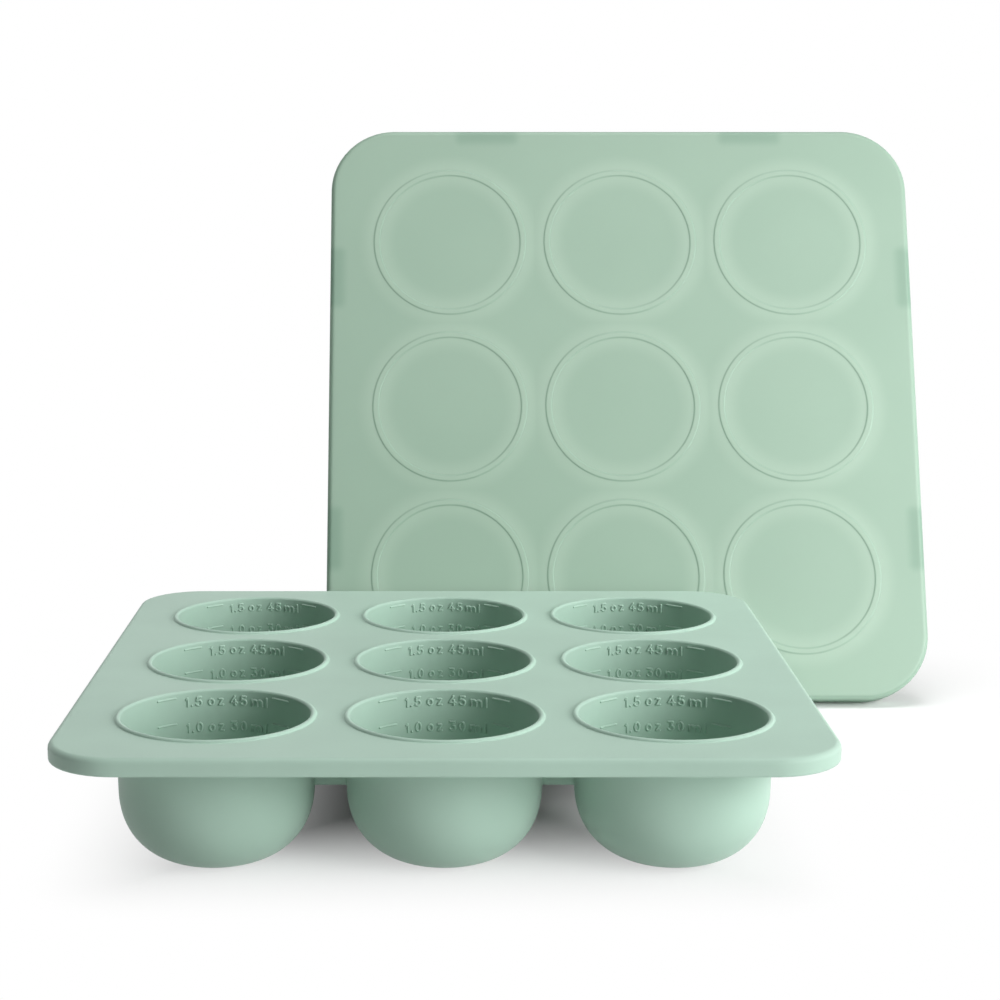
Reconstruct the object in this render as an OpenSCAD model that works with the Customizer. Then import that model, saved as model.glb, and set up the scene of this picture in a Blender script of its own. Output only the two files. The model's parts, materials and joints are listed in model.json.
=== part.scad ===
// Freezer tray for baby food: a soft moulded tray of nine round-bottomed cups,
// and its lid, which clips over the deck's edge, taken off and stood up behind
// the tray.
// Millimetres. The origin is on the floor under the centre cup, +X to the right,
// +Y to the back and +Z up.

/* [Deck] */
// From the centre of an outer cup to the deck's edge
deck_margin = 38; // [32:0.5:50]
// Height of the deck's top face above the floor
deck_h = 36.4; // [30:0.2:48]
// Thickness of the deck
deck_t = 4.5; // [3.5:0.25:8]
// Radius of the deck's corners, seen from above
deck_corner_r = 18; // [10:0.5:26]
// Rounding of the deck's top and bottom edges
deck_edge_r = 1.5; // [0.5:0.1:1.7]

/* [Cups] */
// Outer radius of a cup where it passes through the deck
cup_r = 24.8; // [21:0.1:28.4]
// Clear gap between the outer walls of neighbouring cups
cup_gap = 7.4; // [4:0.2:16]
// Thickness of a cup's wall and bottom
cup_wall = 1.2; // [1:0.1:2.6]
// Depth of the nearly straight part of a cup, from the deck's top face
cup_straight = 16.8; // [9:0.2:22]
// How much a cup narrows over its nearly straight part
cup_taper = 0.3; // [0:0.05:2]
// Fullness of a cup's rounded bottom: 2 is an ellipse, and more is squarer
cup_fullness = 2.3; // [2:0.05:3]
// Radius of the flat foot under a cup
foot_r = 4; // [2:0.25:9]
// Height of the bead round a cup's mouth
bead_h = 1; // [0.8:0.1:1.6]
// How far the bead laps over the deck, past the cup's outer wall
bead_lap = 0.56; // [0.3:0.02:1.2]

/* [Webs] */
// Thickness of the webs that tie neighbouring cups together
web_t = 2.5; // [1.5:0.1:5]
// Depth of the webs' lower edges below the deck's top face
web_depth = 17.8; // [9:0.2:24]

/* [Lid] */
// Thickness of the lid's panel and skirt
lid_t = 1.3; // [1:0.05:1.5]
// Gap between the deck's edge and the skirt of the closed lid
lid_play = 0.7; // [0.4:0.05:1.5]
// Extra corner radius of the lid over one that follows the deck at an even gap
corner_ease = 1.2; // [0:0.1:1.2]
// Rounding of the lid's outer edge
lid_edge_r = 2.6; // [2.2:0.1:3.5]
// Gap between a bead and the groove that it sits in
groove_play = 0.3; // [0.1:0.05:0.4]
// Thickness of the panel over a groove, which makes the raised ring
groove_roof = 0.9; // [0.8:0.05:1.3]
// Gap above and below the deck's edge inside the closed lid
snap_play = 0.25; // [0.1:0.05:0.5]
// Length of a snap tab along the skirt
tab_l = 21; // [12:0.5:30]
// How far a snap tab reaches under the deck, past its edge
tab_grip = 3; // [1.5:0.1:5]
// Thickness of a snap tab where it joins the skirt
tab_t = 1.6; // [1:0.1:2.5]
// Thickness of a snap tab at its tip
tab_tip_t = 0.9; // [0.6:0.05:1]
// From the middle of a side to the centre of a snap tab
tab_offset = 44.5; // [20:0.5:52]

/* [Where the lid stands] */
// How far the lid leans back from upright, in degrees
lid_lean = 22; // [5:1:35]
// How far the lid's middle stands to the right of the tray's middle
lid_shift = 58.8; // [-100:0.2:100]
// Gap between the raised rings and the deck's back edge
lid_gap = 0.5; // [0.3:0.1:20]

/* [Hidden] */

$fn = 96;
bead_steps = 12;      // chords over a bead, ring or groove
bowl_steps = 20;      // chords from a cup's straight wall to its foot
rows = [-1, 0, 1];    // rows and columns of cups, in pitches from the middle one
overrun = 1;          // how far a cutting solid runs past what it cuts

silicone = [0.66, 0.76, 0.70];
frosted = [0.66, 0.79, 0.71, 0.85];

cup_pitch = 2 * cup_r + cup_gap;    // between the centres of neighbouring cups
deck_half = cup_pitch + deck_margin;
cup_in_r = cup_r - cup_wall;
bead_mid_r = (cup_r + bead_lap + cup_in_r) / 2;
bead_half_w = (cup_r + bead_lap - cup_in_r) / 2;
groove_half_w = bead_half_w + groove_play;
groove_h = bead_h + groove_play;
ring_h = groove_h + groove_roof - lid_t;

lid_half = deck_half + lid_play + lid_t;
lid_corner_r = deck_corner_r + lid_play + lid_t + corner_ease;
tab_reach = lid_play + tab_grip;
lid_depth = lid_t + deck_t + 2 * snap_play + tab_t;

// The standing lid: its skirt's free edge is on the floor, and the rings pass
// the bottom of the deck's back edge at lid_gap.
lid_mid_z = lid_half * cos(lid_lean) + lid_depth * sin(lid_lean);
lid_mid_y = deck_half + (ring_h + lid_gap) / cos(lid_lean)
    + (lid_mid_z - deck_h + deck_t) * tan(lid_lean);

// Half an ellipse standing on the radius axis, as points from outside to inside
function arch(mid, half_w, high) =
    [for (i = [0:bead_steps]) let (a = 180 * i / bead_steps) [mid + half_w * cos(a), high * sin(a)]];

// A quarter of a superellipse, from (r_top, z_top) in and down to (r_end, z_end)
function bowl(r_top, z_top, r_end, z_end) =
    [for (i = [0:bowl_steps]) let (a = 90 * i / bowl_steps)
        [r_end + (r_top - r_end) * pow(cos(a), 2 / cup_fullness),
         z_top - (z_top - z_end) * pow(sin(a), 2 / cup_fullness)]];

function reversed(points) = [for (i = [len(points) - 1:-1:0]) points[i]];

// A cup's outer line from the deck's underside down to the middle of its foot
cup_outside = concat(
    [[cup_r, deck_h - deck_t]],
    bowl(cup_r - cup_taper, deck_h - cup_straight, foot_r, 0),
    [[0, 0]]);

// A cup's inner line from the bead down to the middle of its bottom
cup_inside = concat(
    [[cup_in_r, deck_h - deck_t]],
    bowl(cup_in_r - cup_taper, deck_h - cup_straight, foot_r, cup_wall),
    [[0, cup_wall]]);

// Sweeps a section round a square with rounded corners. The section's x is
// measured outwards from a corner's axis.
module sweep_round(half, corner_r) {
    run = 2 * (half - corner_r);
    for (turn = [0:90:270])
        rotate(turn) {
            translate([half - corner_r, half - corner_r, 0]) rotate_extrude(angle = 90) children();
            translate([half - corner_r, run / 2, 0]) rotate([90, 0, 0]) linear_extrude(run) children();
        }
}

// A flat block that fills the middle of such a sweep, from z_low to z_high
module middle_block(half, corner_r, z_low, z_high) {
    run = 2 * (half - corner_r);
    translate([-run / 2, -run / 2, z_low]) cube([run, run, z_high - z_low]);
}

module at_each_cup() {
    for (column = rows, row = rows)
        translate([column * cup_pitch, row * cup_pitch, 0]) children();
}

// Half the cross-section of the deck's edge, with both edges rounded
module deck_section() {
    square([deck_corner_r - deck_edge_r, deck_t]);
    translate([0, deck_edge_r]) square([deck_corner_r, deck_t - 2 * deck_edge_r]);
    for (z = [deck_edge_r, deck_t - deck_edge_r])
        translate([deck_corner_r - deck_edge_r, z]) circle(deck_edge_r);
}

module tray_deck() {
    color(silicone)
        difference() {
            translate([0, 0, deck_h - deck_t]) {
                sweep_round(deck_half, deck_corner_r) deck_section();
                middle_block(deck_half, deck_corner_r, 0, deck_t);
            }
            at_each_cup()
                translate([0, 0, deck_h - deck_t - overrun]) cylinder(r = cup_r, h = deck_t + 2 * overrun);
        }
}

// One cup: its bead on the deck, its collar in the deck's bore and its bowl below
module cup(column, row) {
    bead = [for (p = arch(bead_mid_r, bead_half_w, bead_h)) [p[0], deck_h + p[1]]];
    color(silicone)
        translate([column * cup_pitch, row * cup_pitch, 0])
            rotate_extrude()
                polygon(concat([[cup_r, deck_h]], bead, cup_inside, reversed(cup_outside)));
}

// The space that a cup's bowl takes up below the deck
module cup_space() {
    rotate_extrude() polygon(concat(cup_outside, [[0, deck_h - deck_t]]));
}

// One web between two neighbouring cups along X, under the deck
module web() {
    difference() {
        translate([0, -web_t / 2, deck_h - web_depth]) cube([cup_pitch, web_t, web_depth - deck_t]);
        for (x = [0, cup_pitch]) translate([x, 0, 0]) cup_space();
    }
}

module cup_webs() {
    color(silicone)
        for (turn = [0, 90], row = rows, column = [-1, 0])
            rotate(turn) translate([column * cup_pitch, row * cup_pitch, 0]) web();
}

// Stands the lid, drawn with its outer face up at z = 0, behind the tray
module standing() {
    translate([lid_shift, lid_mid_y, lid_mid_z]) rotate([90 - lid_lean, 0, 0]) children();
}

// The lid's rounded outer edge: the panel's thickness bent down by a quarter turn
module lid_edge_section() {
    bend = lid_corner_r - lid_edge_r;
    translate([0, -lid_t]) square([bend, lid_t]);
    intersection() {
        translate([bend, -lid_edge_r]) difference() {
            circle(lid_edge_r);
            circle(lid_edge_r - lid_t);
        }
        translate([bend, -lid_edge_r]) square(lid_edge_r);
    }
}

module lid_panel() {
    color(frosted)
        standing()
            difference() {
                union() {
                    sweep_round(lid_half, lid_corner_r) lid_edge_section();
                    middle_block(lid_half, lid_corner_r, -lid_t, 0);
                    at_each_cup() rotate_extrude() polygon(arch(bead_mid_r, groove_half_w, ring_h));
                }
                translate([0, 0, -lid_t])
                    at_each_cup() rotate_extrude() polygon(arch(bead_mid_r, groove_half_w, groove_h));
            }
}

module lid_skirt() {
    color(frosted)
        standing()
            sweep_round(lid_half, lid_corner_r)
                translate([lid_corner_r - lid_t, -lid_depth]) square([lid_t, lid_depth - lid_edge_r]);
}

// One snap tab, on the inside of the skirt's free edge, with a sloping underside
module snap_tab() {
    translate([tab_l / 2, -lid_half + lid_t, -lid_depth])
        rotate([90, 0, -90])
            linear_extrude(tab_l)
                polygon([[0, 0], [0, tab_t], [-tab_reach, tab_t], [-tab_reach, tab_t - tab_tip_t]]);
}

module lid_snap_tabs() {
    color(frosted)
        standing()
            for (turn = [0:90:270], side = [-1, 1])
                rotate(turn) translate([side * tab_offset, 0, 0]) snap_tab();
}

tray_deck();
cup(-1, -1);  // cup_front_left
cup(0, -1);  // cup_front_middle
cup(1, -1);  // cup_front_right
cup(-1, 0);  // cup_middle_left
cup(0, 0);  // cup_centre
cup(1, 0);  // cup_middle_right
cup(-1, 1);  // cup_back_left
cup(0, 1);  // cup_back_middle
cup(1, 1);  // cup_back_right
cup_webs();
lid_panel();
lid_skirt();
lid_snap_tabs();
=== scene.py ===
"""Looks of a freezer tray for baby food: nine soft moulded cups and a frosted lid.

Every length is in metres, and MM turns millimetres into metres. A surface is a grid of
points worked out as one array, rows x columns x 3, whose columns close on themselves.
The lid is shaped lying flat, outer face up, and stand_lid() then stands it up.
"""

import json
import math

import bmesh
import bpy
import numpy as np
from mathutils import Matrix, Vector


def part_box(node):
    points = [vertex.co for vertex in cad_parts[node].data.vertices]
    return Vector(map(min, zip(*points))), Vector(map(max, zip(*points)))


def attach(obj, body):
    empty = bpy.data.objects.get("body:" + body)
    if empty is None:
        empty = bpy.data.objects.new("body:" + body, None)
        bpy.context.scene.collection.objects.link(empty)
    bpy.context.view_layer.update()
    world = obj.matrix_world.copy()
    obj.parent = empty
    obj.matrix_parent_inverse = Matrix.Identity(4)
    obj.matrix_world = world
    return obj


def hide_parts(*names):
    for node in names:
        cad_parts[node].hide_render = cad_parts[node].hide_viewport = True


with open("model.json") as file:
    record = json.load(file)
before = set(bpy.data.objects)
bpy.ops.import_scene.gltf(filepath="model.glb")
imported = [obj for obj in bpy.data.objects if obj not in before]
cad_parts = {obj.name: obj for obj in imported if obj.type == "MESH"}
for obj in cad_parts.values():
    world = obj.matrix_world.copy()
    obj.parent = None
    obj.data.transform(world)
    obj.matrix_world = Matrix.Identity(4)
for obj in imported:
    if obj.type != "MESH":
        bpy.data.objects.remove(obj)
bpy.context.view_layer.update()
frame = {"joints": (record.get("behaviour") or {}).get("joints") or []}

MM = 0.001

# The tray, from the frame
deck_low, deck_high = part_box("tray_deck")
right_low, right_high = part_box("cup_middle_right")
DECK_HALF = deck_high.x
DECK_TOP = deck_high.z
DECK_UNDER = deck_low.z
BEAD_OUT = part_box("cup_centre")[1].x
PITCH = (right_low.x + right_high.x) / 2
CELLS_HALF = 1.5 * PITCH     # half the side of the square of nine cells, one round each cup
ROWS = (-1, 0, 1)            # rows and columns of cups, counted from the middle one

# The tray's own sizes
DECK_CORNER = 18 * MM
DECK_EDGE = 1.5 * MM
DECK_LOW_EDGE = 0.6 * MM
HOLE_RING = 0.8 * MM     # width of the row of faces close round each hole
CUP_OUT = 24.8 * MM
CUP_WALL = 1.2 * MM
CUP_IN = CUP_OUT - CUP_WALL
CUP_STRAIGHT = 16.8 * MM
CUP_TAPER = 0.3 * MM
CUP_FULLNESS = 2.3
FOOT_R = 4 * MM
BEAD_RISE = 0.7 * MM
BEAD_STOP = 22           # degrees at which the bead's arc gives way to its foot
BEAD_FOOT = 0.3 * MM     # how far the foot curves out over the deck
UNDER_FILLET = 0.2 * MM
WEB_T = 2.5 * MM
WEB_DEPTH = 17.8 * MM
WEB_FILLET = 1.2 * MM

# The raised scale on a cup's back wall
LETTER_H = 2.25 * MM
LETTER_GAP = 1.37 * MM
FIGURE_GAP = 1.12 * MM
WORD_GAPS = np.array([0, 1.93, 2.15, 1.65]) * MM     # before each word of a line
TEXT_SHIFT = 0.45 * MM
STROKE_W = 0.62 * MM
STROKE_RISE = 0.36 * MM
UPPER_WORDS = ("1.5", "oz", "45", "ml")
UPPER_LINE = 2.3 * MM    # from the deck's top face down to the middle of the words
LOWER_WORDS = ("1.0", "oz", "30", "ml")
LOWER_LINE = 9.15 * MM
DASH_START = 13.3 * MM
DASH_LENGTH = 5.4 * MM
DASH_RISE = 1.4 * MM     # above the middle of the words

# The lid, from the frame: it leans as its slide does
lid_up = frame["joints"][0]["axis"]
LEAN = math.atan2(lid_up[1], lid_up[2])
panel_low, panel_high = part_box("lid_panel")
skirt_low, skirt_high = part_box("lid_skirt")
LID_HALF = (panel_high.x - panel_low.x) / 2

# The lid's own sizes
LID_T = 1.3 * MM
LID_EDGE = 2.6 * MM
EDGE_ROUND = 1.8 * MM
LID_CORNER = 21.2 * MM
LID_DEPTH = 7.9 * MM
RING_MID = 24.48 * MM
RING_HALF_W = 1.18 * MM
RING_STEP = 0.15 * MM
RING_SLOPE = 0.5 * MM
SWELL_H = 0.15 * MM
SWELL_REACH = 5 * MM
GROOVE_H = 1.3 * MM
TAB_L = 21 * MM
TAB_REACH = 3.7 * MM
TAB_T = 1.6 * MM
TAB_TIP_T = 0.9 * MM
TAB_FOOT = 0.1 * MM      # from the skirt's free edge up to a tab's root
TAB_OFFSET = 44.5 * MM
TAB_CORNER = 2.2 * MM

# How finely the surfaces are divided
ANGLES = 128          # directions round a cup, a multiple of 8
BOWL_STEPS = 40       # rows over a cup's rounded bottom
ARC_STEPS = 8         # rows over a rounded edge
CELL_ROWS = 5         # rows from the last circle round a cup out to its square cell
STRIP_ROWS = (0, 0.35, 0.65, 0.85, 0.96, 1)     # rows from the cells out to a face's edge
WEB_SECTIONS = 17
STROKE_STEP = 0.12 * MM
STROKE_SIDES = 10
WELD = 0.001 * MM     # points closer than this become one
SHARP = math.radians(42)

# Colours, linear
SILICONE = (0.407, 0.570, 0.477)
FROSTED = (0.508, 0.663, 0.545)
# the deeper colour that painted shade, the painted glow and the plastic's own faint clouds fade
# towards
DEEP_PLASTIC_AND_SHADE = (0.282, 0.446, 0.342)

# How much deeper the lid's plastic looks, as shares of the way to the deeper colour: painted shade,
# a painted glow and the plastic's own faint clouds
# painted shade over the rounded edge, which dims the light that the edge catches
EDGE_PAINTED_SHADE = 0.3       # at its outline
# painted shade on the line where the skirt's wall lies behind the panel
LINE_PAINTED_SHADE = 0.25      # on the line where the skirt's wall shows
# painted shade of the snap tabs seen through the panel
TAB_PAINTED_SHADE = 0.38       # over the snap tabs
# painted shade that darkens a ring's shaded slope and dims its lit one
SLOPE_PAINTED_SHADE = 0.5      # on the slopes of the rings
# deeper away from the rings, which leaves a painted glow round each ring
PAINTED_GLOW_FALLOFF = 0.26       # away from the rings
CLOUD_DEEP = 0.06     # in the faint clouds

# Where the painted shade and the painted glow lie
# the band of painted shade along the outline
EDGE_BAND = 1.2 * MM      # width of the band along the outline
# where the painted shade of the skirt's wall lies
WALL_LINE = 0.95 * MM     # from the outline in to the line of the wall
WALL_LINE_W = 0.5 * MM    # half the width of that line
# how far the tabs' painted shade fades out
TAB_BLUR = 1.6 * MM       # how far beyond a tab's outline its shade fades out
# reach of the painted glow round each ring
GLOW_REACH = 7 * MM       # from a ring's middle to where its paler surroundings end


# ---------------------------------------------------------------- mesh building

def grid_faces(rows, columns):
    """Quads between neighbouring rows and columns, where the last column meets the first."""
    row, column = np.meshgrid(np.arange(rows - 1), np.arange(columns), indexing="ij")
    beside = (column + 1) % columns
    quads = [row * columns + column, (row + 1) * columns + column,
             (row + 1) * columns + beside, row * columns + beside]
    return np.stack(quads, -1).reshape(-1, 4)


def shell(name, grids, material, body, nodes=()):
    """One piece from grids of points, welded where their points meet, so poles and seams close.
    A grid faces along its row direction crossed with its column direction."""
    points, quads, count = [], [], 0
    for grid in grids:
        points.append(grid.reshape(-1, 3))
        quads.append(grid_faces(*grid.shape[:2]) + count)
        count += grid.shape[0] * grid.shape[1]
    mesh = bpy.data.meshes.new(name)
    mesh.from_pydata(np.concatenate(points).tolist(), [], np.concatenate(quads).tolist())
    work = bmesh.new()
    work.from_mesh(mesh)
    bmesh.ops.remove_doubles(work, verts=work.verts, dist=WELD)
    bmesh.ops.dissolve_degenerate(work, edges=work.edges, dist=WELD)
    work.to_mesh(mesh)
    work.free()
    mesh.polygons.foreach_set("use_smooth", np.ones(len(mesh.polygons), bool))
    mesh.set_sharp_from_angle(angle=SHARP)
    mesh.materials.append(material)
    piece = bpy.data.objects.new(name, mesh)
    bpy.context.scene.collection.objects.link(piece)
    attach(piece, body)
    if nodes:
        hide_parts(*nodes)
    return piece


def revolve(profile, count):
    """A line of (radius, height) points turned about the z axis."""
    turn = 2 * np.pi * np.arange(count) / count
    radius, height = profile[:, 0, None], profile[:, 1, None]
    return np.stack([radius * np.cos(turn), radius * np.sin(turn), height + 0 * turn], -1)


def curve(start, corner, end, steps):
    """A quadratic curve from start to end that leaves and arrives towards corner."""
    t = np.linspace(0, 1, steps)[:, None]
    start, corner, end = np.array(start), np.array(corner), np.array(end)
    return (1 - t) ** 2 * start + 2 * t * (1 - t) * corner + t ** 2 * end


def smooth_step(x):
    """0 below 0, 1 above 1, and an even S between them."""
    x = np.clip(x, 0, 1)
    return x * x * (3 - 2 * x)


def at(grid, x, y):
    """The grid moved by x and y."""
    return grid + np.array([x, y, 0])


def quarter_turns(grid):
    """The grid and its copies turned by 90, 180 and 270 degrees about the z axis."""
    x, y, z = grid[..., 0], grid[..., 1], grid[..., 2]
    return [np.stack([a, b, z], -1) for a, b in ((x, y), (-y, x), (-x, -y), (y, -x))]


def closed_ends(grid):
    """The grid with one more row at each end, shrunk to the end row's middle, which closes it."""
    first, last = [np.broadcast_to(grid[i].mean(0), (1,) + grid.shape[1:]) for i in (0, -1)]
    return np.concatenate([first, grid, last])


# ---------------------------------------------------------------- flat faces with nine cups

def cell(radii, steps):
    """A square cell round one cup, as (x, y): circles of the given radii, then rows that turn
    evenly from the last circle into a square as wide as the cups' pitch."""
    turn = 2 * np.pi * np.arange(ANGLES) / ANGLES
    ray = np.stack([np.cos(turn), np.sin(turn)], 1)
    reach = PITCH / 2 / np.abs(ray).max(1)
    circles = np.repeat(np.array(radii)[:, None], ANGLES, 1)
    share = np.arange(1, steps + 1)[:, None] / steps
    distance = np.concatenate([circles, circles[-1] + (reach - circles[-1]) * share])
    return distance[..., None] * ray


def outline(half, corner):
    """A square with rounded corners as (x, y) points, and the directions out of it. Its points
    match the cells' points along the outer sides of the nine cells, side by side, and are
    shared out along each side by length, from the middle of one corner to the next."""
    step = 2 * np.pi / ANGLES * np.arange(-ANGLES // 8, ANGLES // 8)
    along = np.concatenate([row * PITCH + PITCH / 2 * np.tan(step) for row in ROWS])
    straight = half - corner
    length = along / CELLS_HALF * (straight + corner * np.pi / 4)
    bend = np.clip((np.abs(length) - straight) / corner, 0, np.pi / 4) * np.sign(length)
    run = np.clip(length, -straight, straight)
    side = np.stack([straight + corner * np.cos(bend), run + corner * np.sin(bend)], 1)
    out = np.stack([np.cos(bend), np.sin(bend)], 1)
    inner = np.stack([np.full_like(along, CELLS_HALF), along], 1)

    def round_all(points):
        """One side's points, followed by the same turned to each of the other three sides."""
        x, y = points.T
        return np.concatenate([np.stack(s, 1) for s in ((x, y), (-y, x), (-x, -y), (y, -x))])
    return round_all(side), round_all(out), round_all(inner)


def swept(half, corner, profile):
    """A profile of (inset, height) points carried round the outline."""
    edge, out, _ = outline(half, corner)
    inset, height = profile[:, 0, None, None], profile[:, 1, None]
    flat = edge - inset * out
    return np.concatenate([flat, np.broadcast_to(height[..., None], flat.shape[:2] + (1,))], -1)


def face(half, corner, inset, radii, height, down=False):
    """A face over nine cells and the strip round them, out to the given inset from the outline.
    height gives z from x and y. It faces up, or down."""
    edge, out, inner = outline(half, corner)
    one = cell(radii, CELL_ROWS)
    flats = [one + PITCH * np.array([column, row]) for column in ROWS for row in ROWS]
    share = np.array(STRIP_ROWS)[:, None, None]
    flats.append(inner + (edge - inset * out - inner) * share)
    grids = [np.concatenate([f, height(f[..., 0], f[..., 1])[..., None]], -1) for f in flats]
    return [grid[::-1] for grid in grids] if down else grids


def level(z):
    """A flat height."""
    return lambda x, y: np.full(x.shape, z)


def from_cup(x, y):
    """Distance to the axis of the nearest cup."""
    near_x = x - PITCH * np.clip(np.round(x / PITCH), -1, 1)
    near_y = y - PITCH * np.clip(np.round(y / PITCH), -1, 1)
    return np.hypot(near_x, near_y)


def arc(centre, radius, start, end):
    """An arc of (inset, height) points, between two angles in degrees."""
    turn = np.radians(np.linspace(start, end, ARC_STEPS + 1))
    return np.stack([centre[0] + radius * np.cos(turn), centre[1] + radius * np.sin(turn)], 1)


# ---------------------------------------------------------------- the tray

def bowl(r_top, z_top, r_end, z_end):
    """A quarter of a superellipse, from (r_top, z_top) in and down to (r_end, z_end)."""
    turn = np.linspace(0, np.pi / 2, BOWL_STEPS + 1)
    power = 2 / CUP_FULLNESS
    return np.stack([r_end + (r_top - r_end) * np.abs(np.cos(turn)) ** power,
                     z_top - (z_top - z_end) * np.sin(turn) ** power], 1)


def cup_profile():
    """Up the inside from the middle of the bottom, over the bead, down the collar inside the
    deck's hole, and down the outside to the middle of the foot."""
    bead_end = BEAD_OUT - BEAD_FOOT
    bead_mid = (CUP_IN + bead_end) / 2
    bead_half = (bead_end - CUP_IN) / 2
    turn = np.radians(np.linspace(180, BEAD_STOP, 18))
    bead = np.stack([bead_mid + bead_half * np.cos(turn),
                     DECK_TOP + BEAD_RISE * np.sin(turn)], 1)
    bead_foot = curve(bead[-1], (bead_end, DECK_TOP), (BEAD_OUT, DECK_TOP), 6)
    inside = bowl(CUP_IN - CUP_TAPER, DECK_TOP - CUP_STRAIGHT, FOOT_R, CUP_WALL)[::-1]
    outside = bowl(CUP_OUT - CUP_TAPER, DECK_TOP - CUP_STRAIGHT, FOOT_R, 0)
    under = curve((CUP_OUT + UNDER_FILLET, DECK_UNDER), (CUP_OUT, DECK_UNDER),
                  (CUP_OUT, DECK_UNDER - UNDER_FILLET), 7)
    return np.concatenate([
        [[0, CUP_WALL], [FOOT_R / 2, CUP_WALL]], inside,
        [[CUP_IN, DECK_UNDER], [CUP_IN, (DECK_UNDER + DECK_TOP) / 2]],
        bead, bead_foot[1:], [[CUP_OUT, DECK_TOP], [CUP_OUT, DECK_UNDER]],
        under, outside, [[FOOT_R / 2, 0], [0, 0]]])


def cup_name(column, row):
    """The cup's name in the frame."""
    if column == 0 and row == 0:
        return "cup_centre"
    depth = ("front", "middle", "back")[row + 1]
    side = ("left", "middle", "right")[column + 1]
    return f"cup_{depth}_{side}"


def make_deck(material):
    """The deck: a plate with nine round holes, rounded corners and rounded edges."""
    radii = [CUP_OUT, CUP_OUT + HOLE_RING]
    rim = np.concatenate([
        [[DECK_EDGE, DECK_TOP]],
        arc((DECK_EDGE, DECK_TOP - DECK_EDGE), DECK_EDGE, 90, 180)[1:],
        arc((DECK_LOW_EDGE, DECK_UNDER + DECK_LOW_EDGE), DECK_LOW_EDGE, 180, 270)])
    bore = revolve(np.array([[CUP_OUT, DECK_UNDER], [CUP_OUT, DECK_TOP]]), ANGLES)
    grids = face(DECK_HALF, DECK_CORNER, DECK_EDGE, radii, level(DECK_TOP))
    grids += face(DECK_HALF, DECK_CORNER, DECK_LOW_EDGE, radii, level(DECK_UNDER), down=True)
    grids.append(swept(DECK_HALF, DECK_CORNER, rim))
    grids += [at(bore, column * PITCH, row * PITCH) for column in ROWS for row in ROWS]
    return shell("deck", grids, material, "tray", ["tray_deck"])


def web():
    """A web along x between two cups: a plate with a round lower edge, which thickens where it
    runs into the cups' walls. Its sections are closed loops, shrunk to a point at both ends."""
    half_l = PITCH / 2 - CUP_OUT + CUP_WALL / 2
    reach = np.linspace(-1, 1, WEB_SECTIONS)
    half_t = WEB_T / 2 + WEB_FILLET * np.abs(reach) ** 6
    turn = np.linspace(np.pi, 2 * np.pi, 13)
    low, high = DECK_TOP - WEB_DEPTH + WEB_T / 2, DECK_UNDER + CUP_WALL / 2
    across = half_t[:, None] * np.concatenate([[-1], np.cos(turn), [1]])
    along = np.broadcast_to(reach[:, None] * half_l, across.shape)
    height = np.concatenate([[high], low + WEB_T / 2 * np.sin(turn), [high]])
    return closed_ends(np.stack([along, across, np.broadcast_to(height, across.shape)], -1))


def make_webs(material):
    """Twelve webs, one between every two neighbouring cups."""
    along_x = [at(web(), (column + 0.5) * PITCH, row * PITCH) for row in ROWS for column in (-1, 0)]
    grids = [turned for one in along_x for turned in quarter_turns(one)[:2]]
    return shell("webs", grids, material, "tray", ["cup_webs"])


# ---------------------------------------------------------------- the raised scale

def bend_round(x, y, rx, ry, start, end):
    """Points on an ellipse between two angles in degrees."""
    turn = np.radians(np.linspace(start, end, 3 + int(abs(end - start) / 20)))
    return np.stack([x + rx * np.cos(turn), y + ry * np.sin(turn)], 1)


def glyphs():
    """The scale's characters as strokes, lists of points in units of a figure's height, and
    the width of each."""
    lower = 0.68
    arch = [np.concatenate([[[x, 0]], bend_round(x + 0.32, 0.38, 0.32, 0.30, 180, 0),
                            [[x + 0.64, 0]]]) for x in (0, 0.64)]
    ring = bend_round(0.29, 0.5, 0.29, 0.5, 90, 450)
    return {
        "1": ([[(0, 0.80), (0.18, 1), (0.18, 0)]], 0.18),
        ".": ([[(0, 0), (0, 0.02)]], 0.0),
        "0": ([ring], 0.58),
        "3": ([np.concatenate([[(0.04, 1), (0.60, 1), (0.28, 0.60)],
                               bend_round(0.31, 0.30, 0.32, 0.30, 88, -150)])], 0.64),
        "4": ([[(0.42, 1), (0, 0.27), (0.68, 0.27)], [(0.48, 0.56), (0.48, 0)]], 0.68),
        "5": ([np.concatenate([[(0.56, 1), (0.12, 1), (0.07, 0.55)],
                               bend_round(0.30, 0.31, 0.32, 0.31, 122, -148)])], 0.62),
        "o": ([bend_round(0.29, 0.34, 0.29, 0.34, 90, 450)], 0.58),
        "z": ([[(0.0, lower), (0.42, lower), (0, 0), (0.44, 0)]], 0.44),
        "m": ([[(0, lower), (0, 0)]] + arch, 1.28),
        "l": ([[(0, 1), (0, 0)]], 0.0),
    }


def line_of_text(words):
    """Strokes of a line of words, with its middle at x = TEXT_SHIFT and y = 0. Figures stand a
    little closer together than letters do."""
    shapes, x, placed = glyphs(), 0.0, []
    for word, gap in zip(words, WORD_GAPS):
        x += gap
        for i, sign in enumerate(word):
            strokes, width = shapes[sign]
            if i:
                x += LETTER_GAP if sign.isalpha() else FIGURE_GAP
            placed += [np.array(s) * LETTER_H + np.array([x, 0]) for s in strokes]
            x += width * LETTER_H
    return [s - np.array([x / 2 - TEXT_SHIFT, LETTER_H / 2]) for s in placed]


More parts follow.
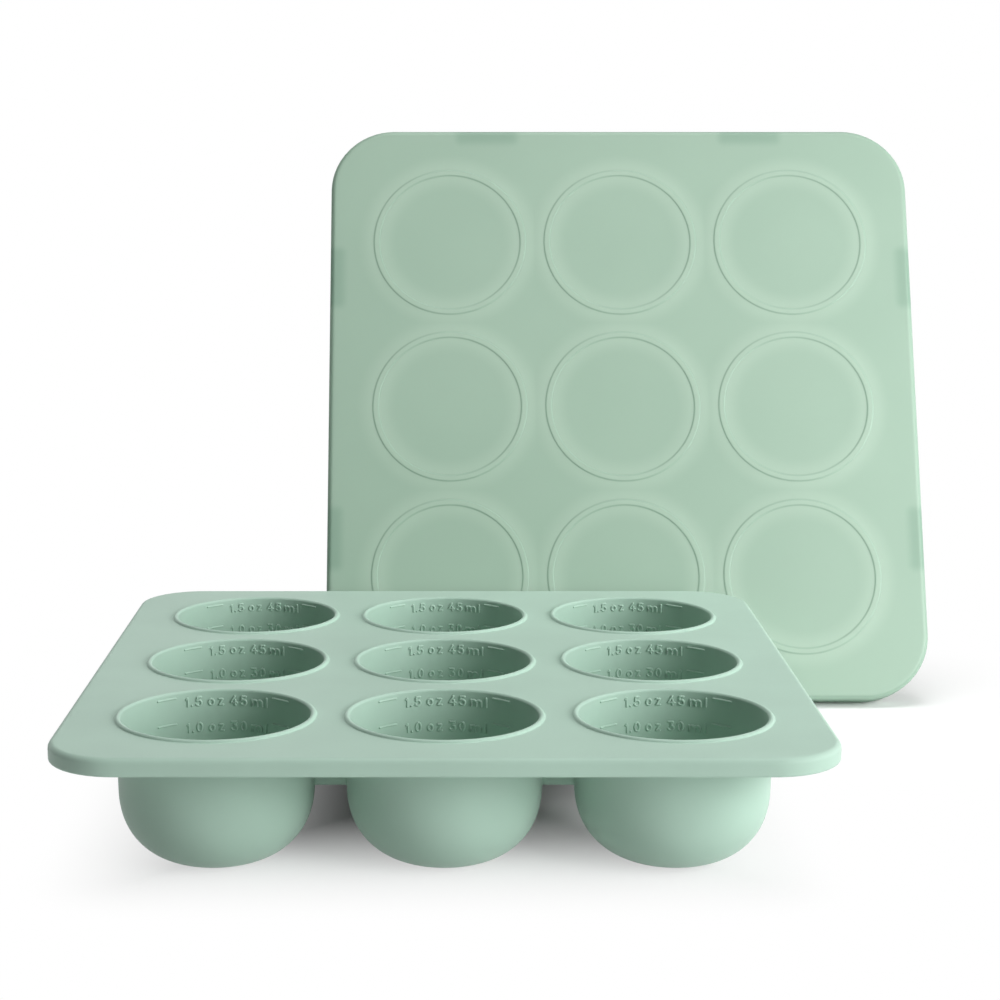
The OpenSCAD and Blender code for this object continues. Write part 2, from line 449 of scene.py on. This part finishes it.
def stroke(path):
    """A rounded stroke along a path on the cup's wall: (along, up, out) points, where out is
    measured off the wall. Its section is an ellipse sunk to its middle, and it shrinks to a
    point at both ends as a round tip does."""
    step = np.hypot(*np.diff(path, axis=0).T)
    length = np.concatenate([[0], np.cumsum(step)])
    count = max(3, int(length[-1] / STROKE_STEP))
    s = np.linspace(0, length[-1], count)
    line = np.stack([np.interp(s, length, path[:, i]) for i in (0, 1)], 1)
    way = np.gradient(line, axis=0)
    way /= np.hypot(*way.T)[:, None] + 1e-12
    tip = np.cos(np.radians([0, 25, 50, 72, 90]))
    tip_out = STROKE_W / 2 * np.sqrt(1 - tip ** 2)
    line = np.concatenate([line[0] - way[0] * tip_out[:0:-1, None], line,
                           line[-1] + way[-1] * tip_out[1:, None]])
    rows = len(tip) - 1
    way = np.concatenate([np.repeat(way[:1], rows, 0), way, np.repeat(way[-1:], rows, 0)])
    size = np.concatenate([tip[:0:-1], np.ones(count), tip[1:]])[:, None]
    turn = 2 * np.pi * np.arange(STROKE_SIDES) / STROKE_SIDES
    across = STROKE_W / 2 * np.cos(turn) * size
    out = STROKE_RISE * np.sin(turn) * size
    side = np.stack([-way[:, 1], way[:, 0]], 1)
    flat = line[:, None] + across[..., None] * side[:, None]
    return np.concatenate([flat, out[..., None]], -1)


def on_wall(grid, column, row):
    """Bends a grid of (along, up, out) points round the back of a cup's inner wall. Up is
    measured from the deck's top face."""
    along, up, out = grid[..., 0], grid[..., 1], grid[..., 2]
    narrowing = CUP_TAPER * np.clip(-up - (DECK_TOP - DECK_UNDER), 0, None)
    narrowing /= CUP_STRAIGHT - (DECK_TOP - DECK_UNDER)
    radius, turn = CUP_IN - narrowing - out, along / CUP_IN
    return np.stack([column * PITCH + radius * np.sin(turn),
                     row * PITCH + radius * np.cos(turn), DECK_TOP + up], -1)


def scale_strokes():
    """The two lines of the scale, each with a dash to its left and right."""
    strokes = []
    for words, depth in ((UPPER_WORDS, UPPER_LINE), (LOWER_WORDS, LOWER_LINE)):
        strokes += [s - np.array([0, depth]) for s in line_of_text(words)]
        for side in (-1, 1):
            ends = side * np.array([DASH_START, DASH_START + DASH_LENGTH])
            strokes.append(np.stack([ends, np.full(2, DASH_RISE - depth)], 1))
    return [stroke(s) for s in strokes]


def make_cups(material):
    """Nine cups and the raised scale in each."""
    body = revolve(cup_profile(), ANGLES)
    marks = scale_strokes()
    for column in ROWS:
        for row in ROWS:
            name = cup_name(column, row)
            grids = [at(body, column * PITCH, row * PITCH)]
            shell(name.replace("cup", "bowl"), grids, material, "tray", [name])
            raised = [on_wall(m, column, row)[::-1] for m in marks]
            shell(name.replace("cup", "scale"), raised, material, "tray")


# ---------------------------------------------------------------- the lid

LID_OUT = np.array([0, -math.cos(LEAN), math.sin(LEAN)])
LID_UP = np.array([0, math.sin(LEAN), math.cos(LEAN)])
LID_MID = np.array((skirt_low + skirt_high) / 2) + LID_OUT * (LID_EDGE + LID_DEPTH) / 2
LID_FOOT = (LID_MID - LID_UP * LID_HALF - LID_OUT * LID_DEPTH / 2)[:2]


def stand_lid(grids):
    """Stands grids of the flat lid, outer face up, where the lid leans."""
    turn = np.stack([[1, 0, 0], LID_UP, LID_OUT])
    return [grid @ turn + LID_MID for grid in grids]


def ring(distance):
    """1 over the ring round a cup, falling to 0 over its two steep slopes."""
    inward = RING_MID - RING_HALF_W
    outward = RING_MID + RING_HALF_W
    return (smooth_step((distance - inward) / RING_SLOPE)
            * smooth_step((outward - distance) / RING_SLOPE))


def swell(distance):
    """A low swelling of the panel that the ring stands on."""
    return np.exp(-((distance - RING_MID) / SWELL_REACH) ** 2)


def panel_top(x, y):
    """Height of the lid's outer face."""
    distance = from_cup(x, y)
    return SWELL_H * swell(distance) + RING_STEP * ring(distance)


def panel_under(x, y):
    """Height of the lid's inner face, with a groove behind each ring."""
    return -LID_T + GROOVE_H * ring(from_cup(x, y))


def ring_radii():
    """Rows of a lid cell: wide apart over the middle, and close over the ring's slopes."""
    inward, outward = RING_MID - RING_HALF_W, RING_MID + RING_HALF_W
    return np.concatenate([
        np.array([0, 5, 10, 14, 17, 19, 20.5, 21.6, 22.4]) * MM,
        np.linspace(inward, inward + RING_SLOPE, 9),
        np.linspace(inward + RING_SLOPE, outward - RING_SLOPE, 4)[1:-1],
        np.linspace(outward - RING_SLOPE, outward, 9)])


def make_lid_panel(material):
    """The lid's panel with its nine raised rings and grooves, and its edge bent down."""
    radii = ring_radii()
    rim = np.concatenate([
        arc((EDGE_ROUND, -EDGE_ROUND), EDGE_ROUND, 90, 180), [[0, -LID_EDGE], [LID_T, -LID_EDGE]],
        arc((EDGE_ROUND, -EDGE_ROUND), EDGE_ROUND - LID_T, 180, 90)])
    grids = face(LID_HALF, LID_CORNER, EDGE_ROUND, radii, panel_top)
    grids += face(LID_HALF, LID_CORNER, EDGE_ROUND, radii, panel_under, down=True)
    rim_grid = swept(LID_HALF, LID_CORNER, rim)
    rim_grid[0, :, 2] = panel_top(rim_grid[0, :, 0], rim_grid[0, :, 1])
    rim_grid[-1, :, 2] = panel_under(rim_grid[-1, :, 0], rim_grid[-1, :, 1])
    grids.append(rim_grid)
    return shell("panel", stand_lid(grids), material, "lid", ["lid_panel"])


def make_lid_skirt(material):
    """The lid's skirt: a wall with a rounded free edge."""
    soft = 0.4 * MM
    free = -LID_DEPTH + soft
    section = np.concatenate([
        [[0, -LID_EDGE]], arc((soft, free), soft, 180, 270),
        arc((LID_T - soft, free), soft, 270, 360), [[LID_T, -LID_EDGE], [0, -LID_EDGE]]])
    grids = [swept(LID_HALF, LID_CORNER, section)]
    return shell("skirt", stand_lid(grids), material, "lid", ["lid_skirt"])


def snap_tab():
    """A tab inside the skirt's free edge, along x at the side of lowest y. Its sections are
    closed loops from end to end, shorter at both ends so that its tip has round corners."""
    along = np.concatenate([TAB_CORNER * (1 - np.cos(np.linspace(0, np.pi / 2, 9))),
                            [TAB_L - TAB_CORNER]])
    along = np.concatenate([along, TAB_L - along[:-1][::-1]])
    inside = np.clip(np.minimum(along, TAB_L - along), 0, TAB_CORNER)
    reach = TAB_REACH - TAB_CORNER + np.sqrt(TAB_CORNER ** 2 - (TAB_CORNER - inside) ** 2)
    soft = TAB_TIP_T / 2
    turn = np.radians(np.linspace(-90, 90, 9))
    tip_x = (reach - soft)[:, None] + soft * np.cos(turn)
    tip_z = np.broadcast_to(TAB_T - soft + soft * np.sin(turn), tip_x.shape)
    root = np.ones((len(along), 1))
    root_x = -LID_T / 2 * root
    x = np.broadcast_to(along[:, None] - TAB_L / 2, (len(along), len(turn) + 2))
    y = np.concatenate([root_x, tip_x, root_x], 1) + (LID_T - LID_HALF)
    z = np.concatenate([TAB_FOOT * root, tip_z, TAB_T * root], 1) - LID_DEPTH
    return closed_ends(np.stack([x, y, z], -1))


def make_snap_tabs(material):
    """Eight snap tabs, two to a side."""
    pair = [at(snap_tab(), side * TAB_OFFSET, 0) for side in (-1, 1)]
    grids = [turned for one in pair for turned in quarter_turns(one)]
    return shell("snap_tabs", stand_lid(grids), material, "lid", ["lid_snap_tabs"])


# ---------------------------------------------------------------- materials

def new_tree(name):
    """An empty material and its node tree."""
    material = bpy.data.materials.new(name)
    material.use_nodes = True
    material.node_tree.nodes.clear()
    return material, material.node_tree


def add(tree, kind, inputs=None, **settings):
    """A node with its settings, whose inputs take values or other nodes' outputs."""
    node = tree.nodes.new(kind)
    for key, value in settings.items():
        setattr(node, key, value)
    for key, value in (inputs or {}).items():
        if isinstance(value, bpy.types.NodeSocket):
            tree.links.new(value, node.inputs[key])
        else:
            node.inputs[key].default_value = value
    return node


def maths(tree, operation, *values):
    """The output of a Math node."""
    return add(tree, "ShaderNodeMath", dict(enumerate(values)), operation=operation).outputs[0]


def fade(tree, value, low, high, to_low=0.0, to_high=1.0):
    """A smooth change from to_low to to_high as value goes from low to high."""
    inputs = {"Value": value, "From Min": low, "From Max": high,
              "To Min": to_low, "To Max": to_high}
    return add(tree, "ShaderNodeMapRange", inputs, interpolation_type="SMOOTHSTEP").outputs[0]


def noise(tree, place, scale, detail):
    """Noise of a given scale, in changes to a metre, with finer and finer layers as its detail."""
    inputs = {"Vector": place, "Scale": scale, "Detail": detail}
    return add(tree, "ShaderNodeTexNoise", inputs).outputs["Fac"]


def shades(tree, factor, low, high):
    """A colour that goes from low to high with factor."""
    node = add(tree, "ShaderNodeMix", {"Factor": factor}, data_type="RGBA")
    node.inputs[6].default_value = (*low, 1)
    if isinstance(high, bpy.types.NodeSocket):
        tree.links.new(high, node.inputs[7])
    else:
        node.inputs[7].default_value = (*high, 1)
    return node.outputs[2]


def scaled(colour, share):
    """The colour made lighter or darker."""
    return tuple(c * share for c in colour)


def silicone():
    """Soft matt silicone: an even pale green with faint clouding, a fine moulded grain and the
    light sheen of a powdery surface."""
    material, tree = new_tree("soft silicone")
    place = add(tree, "ShaderNodeTexCoord").outputs["Object"]
    cloud = fade(tree, noise(tree, place, 28, 2), 0.3, 0.7)
    grain = noise(tree, place, 2600, 3)
    bump = add(tree, "ShaderNodeBump", {"Strength": 0.12, "Distance": 0.02 * MM, "Height": grain})
    surface = add(tree, "ShaderNodeBsdfPrincipled", {
        "Base Color": shades(tree, cloud, scaled(SILICONE, 0.97), scaled(SILICONE, 1.03)),
        "Roughness": fade(tree, grain, 0.3, 0.7, 0.46, 0.56),
        "Specular IOR Level": 0.2,
        "Sheen Weight": 0.12,
        "Sheen Roughness": 0.5,
        "Normal": bump.outputs[0]})
    end = add(tree, "ShaderNodeOutputMaterial")
    tree.links.new(surface.outputs[0], end.inputs["Surface"])
    return material


def lid_place(tree):
    """The point itself, and how far it is from the lid's middle along the lid's two sides."""
    turn = Matrix(((1, 0, 0), LID_UP, LID_OUT))
    place = add(tree, "ShaderNodeTexCoord").outputs["Object"]
    mapping = add(tree, "ShaderNodeMapping", {
        "Vector": place, "Location": -(turn @ Vector(LID_MID)), "Rotation": turn.to_euler()})
    parts = add(tree, "ShaderNodeSeparateXYZ", {"Vector": mapping.outputs[0]})
    x, y = [maths(tree, "ABSOLUTE", parts.outputs[i]) for i in (0, 1)]
    return place, x, y


def beyond(tree, over_x, over_y):
    """Length of two excesses at right angles, where one below 0 counts as 0."""
    square_x = maths(tree, "POWER", maths(tree, "MAXIMUM", over_x, 0.0), 2.0)
    square_y = maths(tree, "POWER", maths(tree, "MAXIMUM", over_y, 0.0), 2.0)
    return maths(tree, "SQRT", maths(tree, "ADD", square_x, square_y))


def box_distance(tree, x, y, middle, half):
    """Distance from a rectangle's sides: below 0 inside it, and above 0 outside."""
    from_x = maths(tree, "ABSOLUTE", maths(tree, "SUBTRACT", x, middle[0]))
    from_y = maths(tree, "ABSOLUTE", maths(tree, "SUBTRACT", y, middle[1]))
    over_x = maths(tree, "SUBTRACT", from_x, half[0])
    over_y = maths(tree, "SUBTRACT", from_y, half[1])
    within = maths(tree, "MINIMUM", maths(tree, "MAXIMUM", over_x, over_y), 0.0)
    return maths(tree, "ADD", beyond(tree, over_x, over_y), within)


def edge_depth(tree, x, y):
    """How far a point lies inside the lid's outline."""
    inner = LID_HALF - LID_CORNER
    outside = box_distance(tree, x, y, (0, 0), (inner, inner))
    return maths(tree, "SUBTRACT", LID_CORNER, outside)


def cup_distance(tree, x, y):
    """Distance on the lid's face to the axis of the nearest cup."""
    near = []
    for value in (x, y):
        outer = maths(tree, "GREATER_THAN", value, PITCH / 2)
        beside = maths(tree, "SUBTRACT", value, maths(tree, "MULTIPLY", outer, PITCH))
        near.append(maths(tree, "POWER", maths(tree, "ABSOLUTE", beside), 2.0))
    return maths(tree, "SQRT", maths(tree, "ADD", *near))


def hump(tree, value, middle, half_w):
    """1 at the middle, falling smoothly to 0 at half_w to either side."""
    off = maths(tree, "ABSOLUTE", maths(tree, "SUBTRACT", value, middle))
    return fade(tree, off, 0.0, half_w, 1.0, 0.0)


def tab_shade(tree, x, y):
    """1 where the painted shade of the snap tabs behind the panel lies, with round corners and soft
    edges.
    """
    across = maths(tree, "SUBTRACT", LID_HALF - LID_T - TAB_REACH + TAB_CORNER,
                   maths(tree, "MAXIMUM", x, y))
    along = maths(tree, "SUBTRACT", maths(tree, "MINIMUM", x, y), TAB_OFFSET)
    along = maths(tree, "SUBTRACT", maths(tree, "ABSOLUTE", along), TAB_L / 2 - TAB_CORNER)
    away = beyond(tree, across, along)
    return fade(tree, away, 0.0, TAB_CORNER + TAB_BLUR, 1.0, 0.0)


def frosted_plastic():
    """Frosted, slightly translucent plastic. Its colour holds painted shade in a band along its
    outline, on a line where the skirt's wall meets the panel, over the snap tabs and on both slopes
    of each ring. It deepens away from the rings, which leaves a painted glow round them, and a
    little in faint clouds, which are the plastic's own."""
    material, tree = new_tree("frosted plastic")
    place, x, y = lid_place(tree)
    depth = edge_depth(tree, x, y)
    away = cup_distance(tree, x, y)
    slope = RING_HALF_W - RING_SLOPE / 2       # from a ring's middle to the middle of a slope
    from_ring = maths(tree, "ABSOLUTE", maths(tree, "SUBTRACT", away, RING_MID))
    # painted shade at the outline, the wall line, the tabs and the rings' slopes; a painted glow
    # round the rings; the plastic's own faint clouds
    deep_and_shade = [
        # painted shade along the outline
        fade(tree, depth, 0.0, EDGE_BAND, EDGE_PAINTED_SHADE, 0.0),
        # painted shade of the skirt's wall seen through the panel
        maths(tree, "MULTIPLY", hump(tree, depth, WALL_LINE, WALL_LINE_W), LINE_PAINTED_SHADE),
        # painted shade of the snap tabs
        maths(tree, "MULTIPLY", tab_shade(tree, x, y), TAB_PAINTED_SHADE),
        # painted shade on both slopes of each ring
        maths(tree, "MULTIPLY", hump(tree, away, RING_MID + slope, RING_SLOPE), SLOPE_PAINTED_SHADE),
        maths(tree, "MULTIPLY", hump(tree, away, RING_MID - slope, RING_SLOPE), SLOPE_PAINTED_SHADE),
        # deeper away from the rings, leaving a painted glow round them
        fade(tree, from_ring, RING_HALF_W, GLOW_REACH, 0.0, PAINTED_GLOW_FALLOFF),
        fade(tree, noise(tree, place, 22, 2), 0.3, 0.7, 0.0, CLOUD_DEEP)]
    total = deep_and_shade[0]
    for part in deep_and_shade[1:]:
        total = maths(tree, "ADD", total, part)
    colour = shades(tree, maths(tree, "MINIMUM", total, 1.0), FROSTED, DEEP_PLASTIC_AND_SHADE)
    grain = noise(tree, place, 1800, 3)
    bump = add(tree, "ShaderNodeBump", {"Strength": 0.1, "Distance": 0.02 * MM, "Height": grain})
    surface = add(tree, "ShaderNodeBsdfPrincipled", {
        "Base Color": colour,
        "Roughness": fade(tree, grain, 0.3, 0.7, 0.42, 0.52),
        "Specular IOR Level": 0.4,
        "Normal": bump.outputs[0]})
    through = add(tree, "ShaderNodeBsdfTranslucent", {"Color": colour})
    both = add(tree, "ShaderNodeMixShader", {0: 0.25, 1: surface.outputs[0], 2: through.outputs[0]})
    end = add(tree, "ShaderNodeOutputMaterial")
    tree.links.new(both.outputs[0], end.inputs["Surface"])
    return material


# ---------------------------------------------------------------- the studio

STAGE_HALF = 3.0
FLOOR_TONE = 0.93
FEET_HALF = 74 * MM          # half the side of the square that the cups' bottoms shade
SHADOW_IN = 60 * MM          # how far inside that square the floor begins to turn white
SHADOW_OUT = 30 * MM         # how far outside it the floor is all white
LID_SHADOW_OUT = 90 * MM     # the same, round the strip that the lid's foot fills
FILL = 0.10                  # strength of the light from all round

# The lamps: name, place, the point it faces, width in metres and power in watts
LAMPS = (
    ("key", (0.876, -0.615, 0.390), (0.03, 0.0, 0.05), 0.7, 10.8),
    ("top", (0.10, 0.15, 1.10), (0.0, 0.0, 0.03), 0.6, 6.1),
    ("side", (0.36, 0.0, 0.13), (0.15, 0.13, 0.10), 0.16, 0.3))


def seen_rays(tree):
    """1 for rays from the camera, or off or through a glossy surface."""
    rays = add(tree, "ShaderNodeLightPath")
    kinds = [rays.outputs[k] for k in ("Is Camera Ray", "Is Glossy Ray", "Is Transmission Ray")]
    return maths(tree, "MAXIMUM", maths(tree, "MAXIMUM", kinds[0], kinds[1]), kinds[2])


def make_floor():
    """A pale floor that keeps the shadows under and close round the object, and turns to plain
    white further off, where it glows only for the rays that are seen."""
    material, tree = new_tree("studio floor")
    place = add(tree, "ShaderNodeTexCoord").outputs["Object"]
    parts = add(tree, "ShaderNodeSeparateXYZ", {"Vector": place})
    x, y = parts.outputs[0], parts.outputs[1]
    from_tray = box_distance(tree, x, y, (0, 0), (FEET_HALF, FEET_HALF))
    from_lid = box_distance(tree, x, y, LID_FOOT, (LID_HALF - LID_CORNER, LID_DEPTH / 2))
    white_tray = fade(tree, from_tray, -SHADOW_IN, SHADOW_OUT)
    white_lid = fade(tree, from_lid, -LID_DEPTH, LID_SHADOW_OUT)
    share = maths(tree, "MULTIPLY", maths(tree, "MINIMUM", white_tray, white_lid), seen_rays(tree))
    matt = add(tree, "ShaderNodeBsdfDiffuse", {"Color": (FLOOR_TONE, FLOOR_TONE, FLOOR_TONE, 1)})
    white = add(tree, "ShaderNodeEmission", {"Color": (1, 1, 1, 1), "Strength": 1.0})
    both = add(tree, "ShaderNodeMixShader", {0: share, 1: matt.outputs[0], 2: white.outputs[0]})
    end = add(tree, "ShaderNodeOutputMaterial")
    tree.links.new(both.outputs[0], end.inputs["Surface"])
    corners = STAGE_HALF * np.array([[-1, -1, 0], [1, -1, 0], [1, 1, 0], [-1, 1, 0]])
    mesh = bpy.data.meshes.new("floor")
    mesh.from_pydata(corners.tolist(), [], [(0, 1, 2, 3)])
    mesh.materials.append(material)
    floor = bpy.data.objects.new("floor", mesh)
    bpy.context.scene.collection.objects.link(floor)


def make_world(fill):
    """Even light from all round, over a background that is seen as white."""
    world = bpy.data.worlds.new("studio")
    world.use_nodes = True
    tree = world.node_tree
    tree.nodes.clear()
    strength = fade(tree, seen_rays(tree), 0.0, 1.0, fill, 1.0)
    glow = add(tree, "ShaderNodeBackground", {"Color": (1, 1, 1, 1), "Strength": strength})
    end = add(tree, "ShaderNodeOutputWorld")
    tree.links.new(glow.outputs[0], end.inputs["Surface"])
    bpy.context.scene.world = world


def make_lamp(name, place, target, size, power):
    """A round soft light at place that faces target."""
    light = bpy.data.lights.new(name, "AREA")
    light.size = size
    light.shape = "DISK"
    light.energy = power
    lamp = bpy.data.objects.new(name, light)
    lamp.location = place
    lamp.visible_camera = False
    lamp.rotation_euler = (Vector(target) - Vector(place)).to_track_quat("-Z", "Y").to_euler()
    bpy.context.scene.collection.objects.link(lamp)


def make_camera():
    """The camera: its height, distance, downward tilt and focal length follow from how the
    cups' rims and the deck's outline lie in the picture."""
    picture = 1000.0           # the picture's width, in pixels
    focal = 2076.8             # focal length, in the same pixels
    axis_x = 444.5             # where the camera's axis meets the picture
    tilt = math.radians(9.38)
    in_front = 559.3 * MM      # in front of the middle of the tray
    above = 137.5 * MM         # above the deck's top face
    camera = bpy.data.cameras.new("camera")
    camera.sensor_width = 36
    camera.lens = focal / picture * camera.sensor_width
    camera.shift_x = 0.5 - axis_x / picture
    camera.clip_start = 0.01
    camera.clip_end = 50
    holder = bpy.data.objects.new("camera", camera)
    holder.location = (0, -in_front, DECK_TOP + above)
    holder.rotation_euler = (math.pi / 2 - tilt, 0, 0)
    bpy.context.scene.collection.objects.link(holder)
    bpy.context.scene.camera = holder


make_camera()
make_world(FILL)
for lamp_facts in LAMPS:
    make_lamp(*lamp_facts)
make_floor()
bpy.context.scene.view_settings.view_transform = "Standard"

tray_finish = silicone()
lid_finish = frosted_plastic()
make_deck(tray_finish)
make_cups(tray_finish)
make_webs(tray_finish)
make_lid_panel(lid_finish)
make_lid_skirt(lid_finish)
make_snap_tabs(lid_finish)
